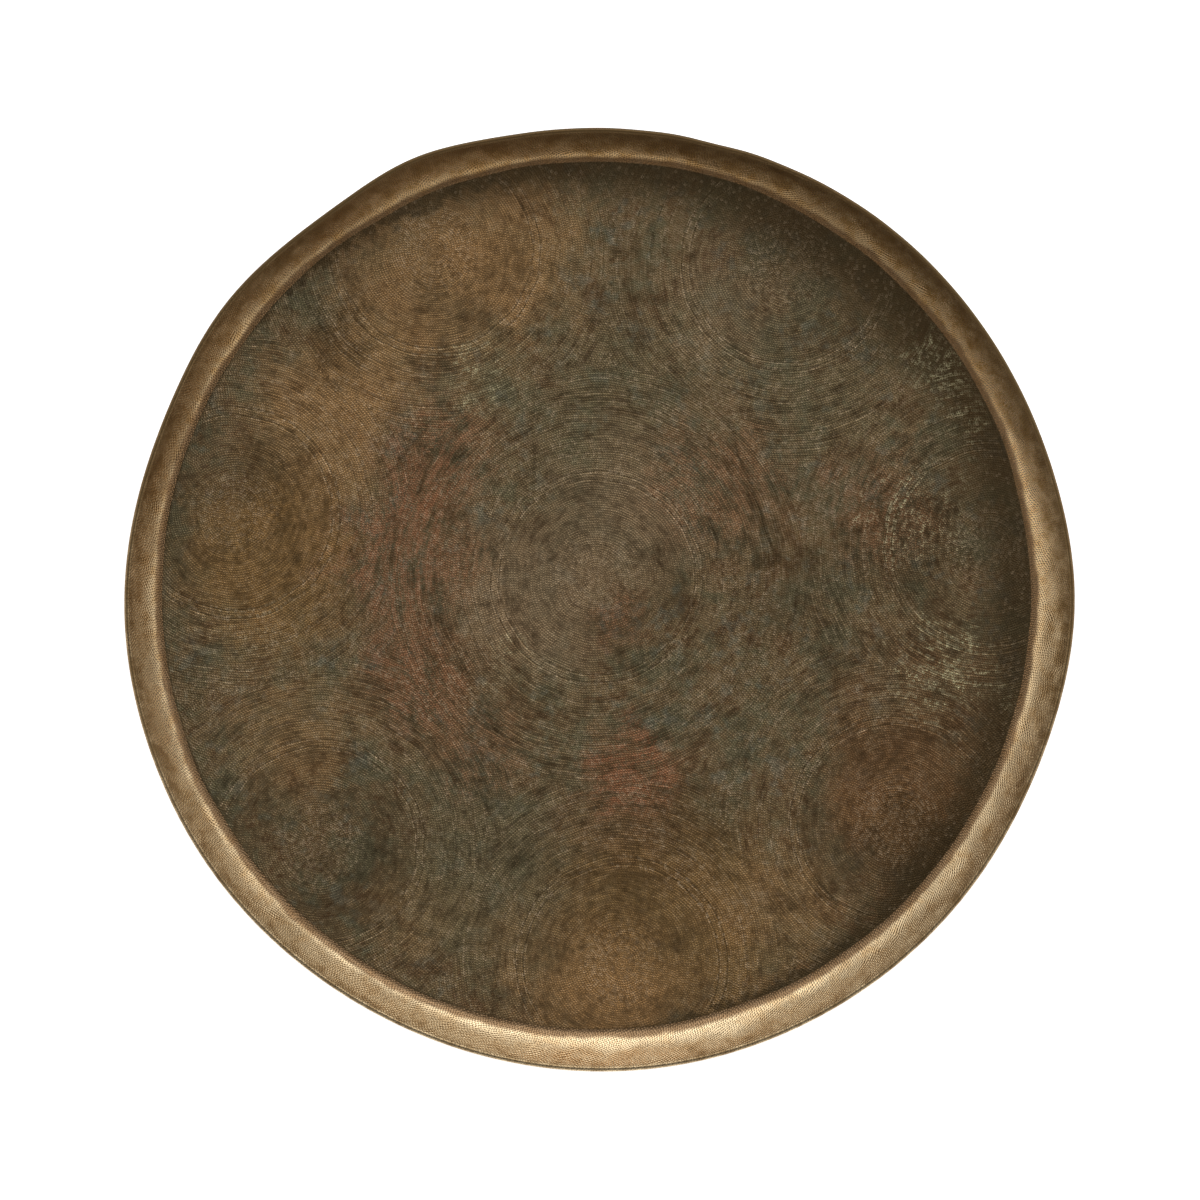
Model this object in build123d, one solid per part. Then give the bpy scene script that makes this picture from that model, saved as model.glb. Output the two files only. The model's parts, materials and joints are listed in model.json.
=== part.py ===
from build123d import *
import math
import os

# A large round brass tray, beaten by hand from one sheet. Its edge is rolled around a stiffening wire.
# The frame has +Z up and z = 0 on the flat underside, with the origin under the middle of the outline.
# Sizes are in millimetres and angles in degrees. Directions around the tray run from +X towards +Y.

# Sheet and wire
SHEET = 1.0
WIRE_RADIUS = 0.8
WIRE_PLAY = 0.04
WIRE_GAP = 1.5
WIRE_GAP_DIRECTION = 221

# Floor: a true circle, a little off the middle of the outline
FLOOR_RADIUS = 277
FLOOR_OFF_X = -2.5
FLOOR_OFF_Y = 3

# Rim: a short bend at the floor, a wall that steepens on its way up, and the rolled edge
TRAY_HEIGHT = 22
BEND_RADIUS = 2
WALL_FOOT_SLOPE = 26
WALL_HEAD_SLOPE = 62
ROLL_SEAM = 0.3

# Outline: a plain radius plus the soft swells and two blunt corners that the hammer left,
# each given as its direction, spread and height
EDGE_RADIUS = 297
EDGE_SWELLS = (
    (0, 9, 3),
    (57, 14, 1.5),
    (98, 12, 1.5),
    (113, 6, 4.5),
    (126, 12, 1.5),
    (142, 8, 4),
    (182, 14, 3.5),
    (213, 13, 2),
    (278, 16, 1),
    (335, 9, -1),
)

# How finely the rim curves are laid out
CURVE_POINTS = 72
BEND_STEPS = 2
WALL_STEPS = 4
ROLL_STEPS = 12
WIRE_ARCS = 18

# The roll, worked out from the sheet and the wire. It leaves the wall's head along the wall's own line,
# passes over the wire, and turns back under it to end a seam's width short of the wall.
ROLL_INSIDE = WIRE_RADIUS + WIRE_PLAY
ROLL_OUTSIDE = ROLL_INSIDE + SHEET
ROLL_CENTRE_HEIGHT = TRAY_HEIGHT - ROLL_OUTSIDE
ROLL_START = WALL_HEAD_SLOPE + 90
ROLL_END = ROLL_START - 360 + math.degrees(math.acos((ROLL_INSIDE - ROLL_SEAM) / ROLL_OUTSIDE))


def sine(angle):
    return math.sin(math.radians(angle))


def cosine(angle):
    return math.cos(math.radians(angle))


def tangent(angle):
    return math.tan(math.radians(angle))


def edge_distance(direction):
    """How far the outermost point of the edge is from the origin."""
    distance = EDGE_RADIUS
    for middle, spread, height in EDGE_SWELLS:
        away = (direction - middle + 180) % 360 - 180
        distance += height * math.exp(-0.5 * (away / spread) ** 2)
    return distance


def floor_distance(direction):
    """How far the edge of the flat floor is from the origin."""
    along = FLOOR_OFF_X * cosine(direction) + FLOOR_OFF_Y * sine(direction)
    across = FLOOR_OFF_Y * cosine(direction) - FLOOR_OFF_X * sine(direction)
    return along + math.sqrt(FLOOR_RADIUS**2 - across**2)


def steps(count, first, last):
    """Evenly spaced values from first to last, both included."""
    return [first + (last - first) * step / count for step in range(count + 1)]


def ring(station, start=0):
    """The level closed curve around the tray through one station of its cross-section.

    A station is its share of the way from the floor's edge to the outline, how far it is moved
    outward from there, and its height.
    """
    share, outward, height = station
    points = []
    for point in range(CURVE_POINTS):
        direction = start + 360 * point / CURVE_POINTS
        distance = (1 - share) * floor_distance(direction) + share * edge_distance(direction) + outward
        points.append((distance * cosine(direction), distance * sine(direction), height))
    return Edge.make_spline(points, periodic=True)


def bend_stations(radius):
    """The bend at the floor's edge, from flat to the foot of the wall, at a radius about its centre."""
    slopes = steps(BEND_STEPS, 0, WALL_FOOT_SLOPE)
    centre_height = SHEET + BEND_RADIUS
    return [(0, radius * sine(slope), centre_height - radius * cosine(slope)) for slope in slopes]


def roll_station(radius, angle):
    """A point of the roll, at a radius and an angle about the wire. Angle 0 points outward and 90 up."""
    return (1, radius * cosine(angle) - ROLL_OUTSIDE, ROLL_CENTRE_HEIGHT + radius * sine(angle))


def mean_rim_width():
    """The level distance from the floor's edge to the outline, averaged around the tray."""
    widths = [edge_distance(direction) - floor_distance(direction) for direction in range(360)]
    return sum(widths) / len(widths)


def wall_stations(depth):
    """The wall from foot to head, at a depth below its upper face.

    Its section is a quadratic curve. It leaves the bend at the foot slope and meets the roll at the
    head slope, and its control point, the knee, is where those two tangents cross.
    """
    _, foot_outward, foot_height = bend_stations(BEND_RADIUS)[-1]
    _, head_outward, head_height = roll_station(ROLL_OUTSIDE, ROLL_START)
    run = mean_rim_width() + head_outward - foot_outward
    rise = head_height - foot_height
    foot_rate = tangent(WALL_FOOT_SLOPE)
    head_rate = tangent(WALL_HEAD_SLOPE)
    knee_run = (run * head_rate - rise) / (head_rate - foot_rate)
    knee_rise = knee_run * foot_rate
    stations = []
    for way in steps(WALL_STEPS, 0, 1):
        share = (2 * way * (1 - way) * knee_run + way**2 * run) / run
        height = foot_height + 2 * way * (1 - way) * knee_rise + way**2 * rise
        run_rate = (1 - way) * knee_run + way * (run - knee_run)
        rise_rate = (1 - way) * knee_rise + way * (rise - knee_rise)
        slope = math.degrees(math.atan2(rise_rate, run_rate))
        outward = (1 - share) * foot_outward + share * head_outward + depth * sine(slope)
        stations.append((share, outward, height - depth * cosine(slope)))
    return stations


def roll_stations(radius):
    """The roll from the wall's head around to its free end, at a radius about the wire."""
    return [roll_station(radius, angle) for angle in steps(ROLL_STEPS, ROLL_START, ROLL_END)]


def strip(stations):
    """The smooth faces that join a run of stations all the way around the tray."""
    return Shell.make_loft([Wire([ring(station)]) for station in stations]).faces()


def disc(station):
    """The flat face inside one ring."""
    return Face(Wire([ring(station)]))


def tray_pan():
    """One sheet: flat floor, bend, wall, and the edge rolled over the wire."""
    upper_roll = roll_stations(ROLL_OUTSIDE)
    inner_roll = roll_stations(ROLL_INSIDE)
    upper_bend = bend_stations(BEND_RADIUS)
    lower_bend = bend_stations(BEND_RADIUS + SHEET)
    faces = [disc(upper_bend[0]), disc(lower_bend[0])]
    faces += strip(upper_bend)
    faces += strip(wall_stations(0))
    faces += strip(upper_roll)
    faces += strip([upper_roll[-1], inner_roll[-1]])
    faces += strip(inner_roll)
    faces += strip(wall_stations(SHEET))
    faces += strip(lower_bend)
    return Solid(Shell(faces))


def wire_section():
    """The wire's round section, drawn as equal arcs so that it stays round when it is meshed coarsely."""
    span = 360 / WIRE_ARCS
    arcs = [CenterArc((0, 0), WIRE_RADIUS, number * span, span) for number in range(WIRE_ARCS)]
    return Face(Wire(arcs))


def rim_wire():
    """A round wire bent to the outline, with a small gap where its two ends face each other."""
    hoop = ring(roll_station(0, 0), WIRE_GAP_DIRECTION)
    half_gap = WIRE_GAP / 2 / hoop.length
    path = hoop.trim(half_gap, 1 - half_gap)
    section = Plane(origin=path @ 0, z_dir=path % 0) * wire_section()
    return sweep(section, path=path)


os.makedirs("parts", exist_ok=True)
for name, solid in (("tray_pan", tray_pan()), ("rim_wire", rim_wire())):
    solid.label = name
    export_step(solid, f"parts/{name}.step")
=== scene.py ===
import json
import math
from types import SimpleNamespace

import bpy
import numpy as np
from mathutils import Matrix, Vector
from mathutils.geometry import delaunay_2d_cdt


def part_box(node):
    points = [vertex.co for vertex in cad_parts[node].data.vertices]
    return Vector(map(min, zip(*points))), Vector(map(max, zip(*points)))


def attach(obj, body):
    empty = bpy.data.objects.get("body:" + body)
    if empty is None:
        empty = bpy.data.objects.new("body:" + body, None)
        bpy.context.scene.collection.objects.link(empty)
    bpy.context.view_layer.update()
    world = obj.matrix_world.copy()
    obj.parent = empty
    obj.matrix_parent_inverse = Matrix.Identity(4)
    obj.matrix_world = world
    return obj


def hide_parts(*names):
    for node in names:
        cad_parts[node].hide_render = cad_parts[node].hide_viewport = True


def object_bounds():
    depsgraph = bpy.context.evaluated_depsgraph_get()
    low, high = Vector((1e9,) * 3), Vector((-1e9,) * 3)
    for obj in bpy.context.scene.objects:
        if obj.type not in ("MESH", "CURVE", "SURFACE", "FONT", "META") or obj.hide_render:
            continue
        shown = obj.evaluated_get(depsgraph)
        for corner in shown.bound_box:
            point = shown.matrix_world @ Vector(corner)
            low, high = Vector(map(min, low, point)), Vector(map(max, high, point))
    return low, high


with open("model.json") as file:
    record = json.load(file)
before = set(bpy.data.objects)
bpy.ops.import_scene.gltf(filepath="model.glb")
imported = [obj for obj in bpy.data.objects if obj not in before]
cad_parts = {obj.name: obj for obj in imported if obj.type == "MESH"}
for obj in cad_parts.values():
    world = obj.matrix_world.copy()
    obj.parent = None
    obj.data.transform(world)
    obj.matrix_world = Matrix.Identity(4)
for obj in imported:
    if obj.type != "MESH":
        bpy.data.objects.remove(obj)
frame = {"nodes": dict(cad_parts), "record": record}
cad_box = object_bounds()

# A large brass tray seen from above. The pan is one closed mesh with its chased rows, ring lines,
# rosettes and hammered wall as real relief. Its patina and the finest punch marks are in the shaders.
# Lengths are in metres and directions in degrees from +X towards +Y.

MM = 0.001
FULL_TURN = 2 * math.pi
DICE = np.random.default_rng(7)

# ---------------------------------------------------------------- sizes read from the frame


def points_of(node):
    mesh = frame["nodes"][node].data
    flat = np.empty(len(mesh.vertices) * 3)
    mesh.vertices.foreach_get("co", flat)
    return flat.reshape(-1, 3)


wire_low, wire_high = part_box("rim_wire")
_, pan_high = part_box("tray_pan")
SHEET = next(mount["pos_m"][2] for mount in frame["record"]["mounts"] if mount["name"] == "floor")
ROLL_HEIGHT = (wire_low.z + wire_high.z) / 2
ROLL_OUTSIDE = pan_high.z - ROLL_HEIGHT
ROLL_INSIDE = ROLL_OUTSIDE - SHEET

# ---------------------------------------------------------------- section of the rim

# The crease looks softer than the CAD bend, because the punch marks run over it. The wall steepens from
# its foot to its head, and the roll goes around the wire and ends a seam's width short of the wall.
BEND_RADIUS = 6 * MM
CAD_BEND_RADIUS = 2 * MM
FOOT_SLOPE = 26
HEAD_SLOPE = 59
ROLL_SEAM = 0.3 * MM
ROLL_START = HEAD_SLOPE + 90
ROLL_END = ROLL_START - 360 + math.degrees(math.acos((ROLL_INSIDE - ROLL_SEAM) / ROLL_OUTSIDE))

# How many segments go around the rim, and how many steps each stretch of its section takes
AROUND = 480
BEND_STEPS = 4
WALL_ROWS = 12
ROLL_STEPS = 11
ROLL_INNER_STEPS = 7
UNDER_WALL_STEPS = 5

# The hammered relief fades out over this many steps at the wall's foot and head
FADE_STEPS = 4

# ---------------------------------------------------------------- layout of the chasing

# Rows of punch marks run around eight centres: one rosette near the middle and seven medallions,
# each placed by its direction and distance from the origin
ROSETTE = (-2 * MM, 14.5 * MM)
MEDALLIONS = (
    (7.7, 250 * MM),
    (60.8, 244 * MM),
    (115.3, 246 * MM),
    (166.6, 239 * MM),
    (221.1, 237 * MM),
    (273.4, 231 * MM),
    (323.1, 235 * MM),
)

# The rows are fine inside each disc and coarser around it. The middle field ends at its last row.
FINE_ROW = 1.65 * MM
COARSE_ROW = 2.5 * MM
DISC_ROWS = 37
EYE_ROWS = 17
FIELD_ROWS = 66
LAST_ROW = 72
LINE_ROWS = (37, 39)
FAINT_LINE_ROWS = (44, 47, 52, 55, 57, 59, 63)

# How far apart the mesh's points are along a row, and how many a ring has at least
FINE_STEP = 3.4 * MM
COARSE_STEP = 3.1 * MM
FEWEST_POINTS = 6

# Rows keep this far from the border between two fields, and from the crease
FIELD_GAP = 0.4 * COARSE_ROW
CREASE_GAP = 0.45 * COARSE_ROW

# How far apart the finest punch marks are, which only the shaders show
PUNCH = 1.5 * MM
RIM_PUNCH = 1.55 * MM

# How deep the rows, ring lines and scratches are cut, and how uneven the hand leaves them
GROOVE_DEPTH = 0.05 * MM
LINE_DEPTH = 0.14 * MM
FAINT_LINE_DEPTH = 0.08 * MM
SCRATCH_DEPTH = 0.2 * MM
SCRATCH_REACH = 1.6 * MM
FINE_UNEVEN = 0.012 * MM
COARSE_UNEVEN = 0.022 * MM
RIM_UNEVEN = 0.02 * MM

# The weakest and the strongest chasing, against the usual
WEAKEST = 0.3
STRONGEST = 2

# The floor is level and the rows are even within this distance of the crease or of a centre
LEVEL_MARGIN = 15 * MM

# The back's points lie on a triangular grid, moved about a little, and its hollows are this deep on average
UNDER_STEP = 9 * MM
UNDER_JITTER = 0.08 * UNDER_STEP
UNDER_HOLLOW = 0.08 * MM

# Scratches and folds in the floor, as points in millimetres from the origin
SCRATCHES = (
    ((83, 113), (88, 90), (95.5, 74), (102, 56), (105, 43), (113, 25)),
    ((116, 79), (120, 66)),
    ((68, 52), (75, 38), (74, 25)),
    ((-108, 113), (-138, 76)),
    ((18, 135), (19, 121)),
    ((-42, 97), (-42, 74)),
    ((193, 9), (203, 3)),
    ((138, -176), (151, -195)),
    ((234, 117), (236, 108)),
)

# ---------------------------------------------------------------- camera and stage

# The tray fills this share of the frame's width
FRAME_SHARE = 0.793
CAMERA_HEIGHT = 3.0
FILM_WIDTH = 36
FARTHEST_SEEN = 20

STAGE_SIZE = 12.0
STAGE_DROP = 0.2 * MM
STAGE_SHADE = 0.9
STAGE_GLOW = 0.8
# Rays shorter than this pass through the stage, so that light from beneath reaches the back resting on it
CONTACT = 3 * MM


def cosine(angle):
    return math.cos(math.radians(angle))


def sine(angle):
    return math.sin(math.radians(angle))


def tangent(angle):
    return math.tan(math.radians(angle))


def polar(direction, distance):
    return (distance * cosine(direction), distance * sine(direction))


CENTRES = np.array([ROSETTE] + [polar(direction, distance) for direction, distance in MEDALLIONS])
DIRECTIONS = np.arange(AROUND) * FULL_TURN / AROUND

# The outline is read from the CAD's points: those near the roll's equator and near the farthest of their
# sector, smoothed to this many waves around the tray. The visual keeps a little inside it.
EQUATOR_BAND = 0.3 * MM
OUTER_BAND = 0.5 * MM
SECTORS = 360
OUTLINE_WAVES = 48
EDGE_ROOM = 0.03 * MM

# The CAD's points this near the floor's height belong to the flat floor
LEVEL_BAND = 0.002 * MM


def outline(points):
    """Distance from the origin to the edge of the tray in each of the AROUND directions."""
    level = np.abs(points[:, 2] - ROLL_HEIGHT) < EQUATOR_BAND
    radii = np.hypot(points[:, 0], points[:, 1])
    angles = np.arctan2(points[:, 1], points[:, 0])
    sector = (angles / FULL_TURN * SECTORS).astype(int) % SECTORS
    farthest = np.zeros(SECTORS)
    np.maximum.at(farthest, sector, radii)
    outermost = level & (radii > farthest[sector] - OUTER_BAND)
    order = np.argsort(angles[outermost])
    found = np.interp(DIRECTIONS, angles[outermost][order], radii[outermost][order], period=FULL_TURN)
    waves = np.fft.rfft(found)
    waves[OUTLINE_WAVES:] = 0
    return np.fft.irfft(waves, AROUND)


def floor_circle(points):
    """Centre and radius of the flat floor's upper face."""
    level = points[np.abs(points[:, 2] - SHEET) < LEVEL_BAND]
    low = level.min(0)
    high = level.max(0)
    return (low[:2] + high[:2]) / 2, (high[0] - low[0]) / 2


pan_points = points_of("tray_pan")
EDGE = outline(pan_points) - EDGE_ROOM
FLOOR_CENTRE, FLOOR_RADIUS = floor_circle(pan_points)
UNIT = np.stack([np.cos(DIRECTIONS), np.sin(DIRECTIONS)], 1)
ALONG = UNIT @ FLOOR_CENTRE
CAD_FLOOR_EDGE = ALONG + np.sqrt(FLOOR_RADIUS**2 - FLOOR_CENTRE @ FLOOR_CENTRE + ALONG**2)


# ---------------------------------------------------------------- relief left by the hammer


def waves_over(count, shortest, longest, height):
    """A smooth random surface as a function of x and y: a number of waves between two lengths, in all
    directions, with the height that they add up to."""
    lengths = DICE.uniform(shortest, longest, count)
    headings = DICE.uniform(0, FULL_TURN, count)
    phases = DICE.uniform(0, FULL_TURN, count)

    def surface(x, y):
        total = np.zeros_like(x)
        for length, heading, phase in zip(lengths, headings, phases):
            across = x * math.cos(heading) + y * math.sin(heading)
            total += np.sin(FULL_TURN * across / length + phase)
        return total * height / math.sqrt(count)

    return surface


floor_waves = waves_over(14, 45 * MM, 130 * MM, 0.16 * MM)
wall_waves = waves_over(36, 18 * MM, 70 * MM, 0.24 * MM)
under_waves = waves_over(24, 18 * MM, 40 * MM, 0.07 * MM)
row_waves = waves_over(20, 14 * MM, 40 * MM, 0.45 * MM)
crease_waves = waves_over(14, 40 * MM, 120 * MM, 0.4 * MM)
vigour_waves = waves_over(16, 25 * MM, 80 * MM, 0.8)

# The visual's wider bend starts further in than the CAD's, and the crease wanders a little
BEND_START = CAD_FLOOR_EDGE - (BEND_RADIUS - CAD_BEND_RADIUS) * tangent(FOOT_SLOPE / 2)
FLOOR_EDGE = BEND_START + crease_waves(BEND_START * UNIT[:, 0], BEND_START * UNIT[:, 1])
CREASE = FLOOR_EDGE[:, None] * UNIT
CREASE_EDGES = [(k, (k + 1) % AROUND) for k in range(AROUND)]


def row_radius(row):
    """Radius of a row about its centre. Halves are allowed."""
    return min(row, DISC_ROWS) * FINE_ROW + max(row - DISC_ROWS, 0) * COARSE_ROW


def distance_to_line(x, y, start, end):
    """Distance from each point to a straight line with two ends."""
    run = end - start
    share = np.clip(((x - start[0]) * run[0] + (y - start[1]) * run[1]) / (run @ run), 0, 1)
    return np.hypot(x - start[0] - share * run[0], y - start[1] - share * run[1])


def scratched(x, y):
    """How deep in a scratch each point is, from 0 to 1."""
    nearest = np.full(len(x), np.inf)
    for line in SCRATCHES:
        for start, end in zip(line, line[1:]):
            away = distance_to_line(x, y, np.array(start) * MM, np.array(end) * MM)
            nearest = np.minimum(nearest, away)
    return np.clip(1 - nearest / SCRATCH_REACH, 0, 1)


def owner(x, y):
    """Which centre's rows cover a point, and how far the point is inside that centre's field."""
    distances = np.hypot(x[:, None] - CENTRES[:, 0], y[:, None] - CENTRES[:, 1])
    field = row_radius(FIELD_ROWS)
    around = np.sort(distances[:, 1:], axis=1)
    inside_middle = distances[:, 0] < field
    index = np.where(inside_middle, 0, 1 + distances[:, 1:].argmin(1))
    room = np.where(
        inside_middle,
        field - distances[:, 0],
        np.minimum(distances[:, 0] - field, (around[:, 1] - around[:, 0]) / 2),
    )
    return index, room


def crease_distance(x, y):
    """Distance from the origin to the crease, in the direction of each point."""
    return np.interp(np.arctan2(y, x) % FULL_TURN, DIRECTIONS, FLOOR_EDGE, period=FULL_TURN)


def inside_floor(x, y):
    """How far a point is inside the crease."""
    return crease_distance(x, y) - np.hypot(x, y)


def away_from_crease(x, y):
    """0 at the crease, rising to 1 at the end of the level margin."""
    return np.clip(inside_floor(x, y) / LEVEL_MARGIN, 0, 1)


# ---------------------------------------------------------------- chased floor


def on_circle(centre, radii, angles):
    return centre[0] + radii * np.cos(angles), centre[1] + radii * np.sin(angles)


def chased_ring(centre, row):
    """Points of one ring, and how deep each is cut. Whole rows are lands and the halves between them are
    grooves."""
    radius = row_radius(row)
    step, uneven = (FINE_STEP, FINE_UNEVEN) if row < DISC_ROWS else (COARSE_STEP, COARSE_UNEVEN)
    count = max(FEWEST_POINTS, round(FULL_TURN * radius / step))
    angles = (np.arange(count) + DICE.random()) * FULL_TURN / count
    x, y = on_circle(centre, radius, angles)
    wandering = radius + row_waves(x, y) * min(1, radius / LEVEL_MARGIN)
    x, y = on_circle(centre, wandering, angles)
    strength = np.clip(1 + vigour_waves(x, y), WEAKEST, STRONGEST)
    depth = DICE.normal(0, uneven, count) * strength
    if row % 1:
        depth += GROOVE_DEPTH * strength
        if row // 1 in LINE_ROWS:
            depth += LINE_DEPTH
        elif row // 1 in FAINT_LINE_ROWS:
            depth += FAINT_LINE_DEPTH
    return x, y, depth + scratched(x, y) * SCRATCH_DEPTH


def chased_floor():
    """Points of the floor's upper face as (x, y, depth, row), and the edges that the triangles have to
    keep. The crease comes first."""
    points = [np.column_stack([CREASE, np.zeros((AROUND, 2))])]
    edges = list(CREASE_EDGES)
    total = AROUND
    for index, centre in enumerate(CENTRES):
        for row in np.arange(0.5, LAST_ROW, 0.5):
            x, y, depth = chased_ring(centre, row)
            keeper, room = owner(x, y)
            kept = (keeper == index) & (room > FIELD_GAP) & (inside_floor(x, y) > CREASE_GAP)
            place = np.cumsum(kept) - 1 + total
            linked = kept & np.roll(kept, -1)
            edges += list(zip(place[linked].tolist(), np.roll(place, -1)[linked].tolist()))
            points.append(np.column_stack([x, y, depth, np.full(len(x), row)])[kept])
            total += int(kept.sum())
    return np.concatenate(points), edges


def triangles_over(x, y, edges):
    """Triangles that cover the points and keep the given edges. Every point stays a corner."""
    flat = [Vector((a, b)) for a, b in zip((x / MM).tolist(), (y / MM).tolist())]
    corners, _, faces, _, _, _ = delaunay_2d_cdt(flat, edges, [], 0, 1e-6, False)
    if len(corners) != len(flat):
        raise ValueError("two points of the floor fell together")
    return np.array(faces)


def floor_top():
    """The chased upper face: its points, its triangles and the row number at each point."""
    points, edges = chased_floor()
    x, y, depth, rows = points.T
    heights = SHEET + floor_waves(x, y) * away_from_crease(x, y) - depth
    return np.column_stack([x, y, heights]), triangles_over(x, y, edges), rows


def floor_under():
    """The underside, with the shallow planishing marks that a flat hammer leaves."""
    grid = np.arange(-FLOOR_RADIUS, FLOOR_RADIUS, UNDER_STEP)
    x, y = [axis.ravel() for axis in np.meshgrid(grid, grid * math.sqrt(3) / 2)]
    odd_row = np.round(y / UNDER_STEP * 2 / math.sqrt(3)) % 2 == 1
    x = x + np.where(odd_row, UNDER_STEP / 2, 0)
    x += DICE.normal(0, UNDER_JITTER, len(x)) + FLOOR_CENTRE[0]
    y = y + DICE.normal(0, UNDER_JITTER, len(y)) + FLOOR_CENTRE[1]
    kept = inside_floor(x, y) > UNDER_STEP / 2
    x, y = x[kept], y[kept]
    height = np.clip(UNDER_HOLLOW + under_waves(x, y), 0, None) * away_from_crease(x, y)
    crease = np.column_stack([CREASE, np.zeros(AROUND)])
    points = np.concatenate([crease, np.column_stack([x, y, height])])
    return points, triangles_over(points[:, 0], points[:, 1], CREASE_EDGES)[:, ::-1]


# ---------------------------------------------------------------- rim


def bend_stations(radius, steps):
    """The bend at the floor's edge, as (share of the rim's width, outward, height, slope)."""
    slopes = np.radians(np.linspace(0, FOOT_SLOPE, steps + 1))
    top = SHEET + BEND_RADIUS
    return [(0, radius * math.sin(slope), top - radius * math.cos(slope), slope) for slope in slopes]


def roll_station(radius, angle):
    """A point of the roll, at a radius and an angle about the wire. Angle 0 points outward and 90 up."""
    outward = radius * cosine(angle) - ROLL_OUTSIDE
    return (1, outward, ROLL_HEIGHT + radius * sine(angle), math.radians(angle - 90))


def roll_stations(radius, steps):
    return [roll_station(radius, angle) for angle in np.linspace(ROLL_START, ROLL_END, steps + 1)]


def wall_stations(depth, steps):
    """The wall from foot to head, at a depth below its upper face. Its section is a quadratic curve, and
    its control point, the knee, is where the tangents at the foot and the head cross."""
    _, foot_out, foot_height, _ = bend_stations(BEND_RADIUS, 1)[-1]
    _, head_out, head_height, _ = roll_station(ROLL_OUTSIDE, ROLL_START)
    run = (EDGE - FLOOR_EDGE).mean() + head_out - foot_out
    rise = head_height - foot_height
    foot_rate = tangent(FOOT_SLOPE)
    head_rate = tangent(HEAD_SLOPE)
    knee = np.array([1, foot_rate]) * (run * head_rate - rise) / (head_rate - foot_rate)
    head = np.array([run, rise])
    stations = []
    for way in np.linspace(0, 1, steps + 1):
        forward, up = 2 * way * (1 - way) * knee + way**2 * head
        heading = (1 - way) * knee + way * (head - knee)
        slope = math.atan2(heading[1], heading[0])
        share = forward / run
        out = (1 - share) * foot_out + share * head_out + depth * math.sin(slope)
        stations.append((share, out, foot_height + up - depth * math.cos(slope), slope))
    return stations


def ring(station, lift=0.0):
    """The closed ring of points at one station, raised by lift along the sheet's normal."""
    share, out, height, slope = station
    distance = (1 - share) * FLOOR_EDGE + share * EDGE + out - lift * math.sin(slope)
    level = np.full(AROUND, height) + lift * math.cos(slope)
    return np.stack([distance * UNIT[:, 0], distance * UNIT[:, 1], level], 1)


def hammered_ring(station, groove, strength):
    """A ring of the wall's upper face, with hammer waves and alternate punched rows."""
    flat = ring(station)
    unrolled = flat[:, :2] * (1 + station[2] / np.hypot(flat[:, 0], flat[:, 1]))[:, None]
    lift = wall_waves(unrolled[:, 0], unrolled[:, 1]) - (GROOVE_DEPTH if groove else 0)
    lift = lift + DICE.normal(0, RIM_UNEVEN, AROUND)
    return ring(station, lift * strength)


def rim_rings():
    """Rings from the floor's edge up the wall and over the roll, then back inside the roll and down
    underneath, with the material of the strip that starts at each ring."""
    wall = wall_stations(0, 2 * WALL_ROWS)
    upper = [ring(station) for station in bend_stations(BEND_RADIUS, BEND_STEPS)[1:-1]]
    for number, station in enumerate(wall[:-1]):
        strength = min(1, number / FADE_STEPS, (len(wall) - 1 - number) / FADE_STEPS)
        upper.append(hammered_ring(station, number % 2 == 1, strength))
    upper += [ring(station) for station in roll_stations(ROLL_OUTSIDE, ROLL_STEPS)]
    lower_stations = [
        *reversed(roll_stations(ROLL_INSIDE, ROLL_INNER_STEPS)),
        *reversed(wall_stations(SHEET, UNDER_WALL_STEPS)[:-1]),
        *reversed(bend_stations(BEND_RADIUS + SHEET, BEND_STEPS)[1:-1]),
    ]
    lower = [ring(station) for station in lower_stations]
    return upper + lower, [RIM] * len(upper) + [UNDER] * len(lower)


FLOOR, RIM, UNDER = range(3)


def ring_strip(first, second):
    """Quads between two rings, each given by the index of its first point."""
    k = np.arange(AROUND)
    after = (k + 1) % AROUND
    return np.stack([first + k, second + k, second + after, first + after], 1)


def build_pan():
    """The whole pan as one closed mesh."""
    top, top_faces, rows = floor_top()
    under, under_faces = floor_under()
    rings, strips = rim_rings()
    ring_start = len(top)
    under_start = ring_start + AROUND * len(rings)
    points = np.concatenate([top, *rings, under])
    starts = [0] + [ring_start + AROUND * n for n in range(len(rings))] + [under_start]
    kinds = [RIM] + strips
    quads = np.concatenate([ring_strip(a, b) for a, b in zip(starts, starts[1:])])
    quad_kinds = np.repeat(kinds, AROUND)
    triangles = np.concatenate([top_faces, under_faces + under_start])
    triangle_kinds = np.repeat([FLOOR, UNDER], [len(top_faces), len(under_faces)])
    mesh = bpy.data.meshes.new("tray_pan_visual")
    mesh.from_pydata(points.tolist(), [], triangles.tolist() + quads.tolist())
    kinds = np.concatenate([triangle_kinds, quad_kinds])
    mesh.polygons.foreach_set("material_index", kinds)
    mesh.polygons.foreach_set("use_smooth", kinds != FLOOR)
    add_values(mesh, "row", np.pad(rows, (0, len(points) - len(rows))))
    add_values(mesh, "scratch", scratched(points[:, 0], points[:, 1]))
    lengths, shares = along_rim(points, starts)
    add_values(mesh, "up_wall", lengths)
    add_values(mesh, "wall_share", shares)
    add_centres(mesh, points, triangles, len(quads))
    mesh.update()
    add_map(mesh, points, lengths, kinds == UNDER)
    return mesh


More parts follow.
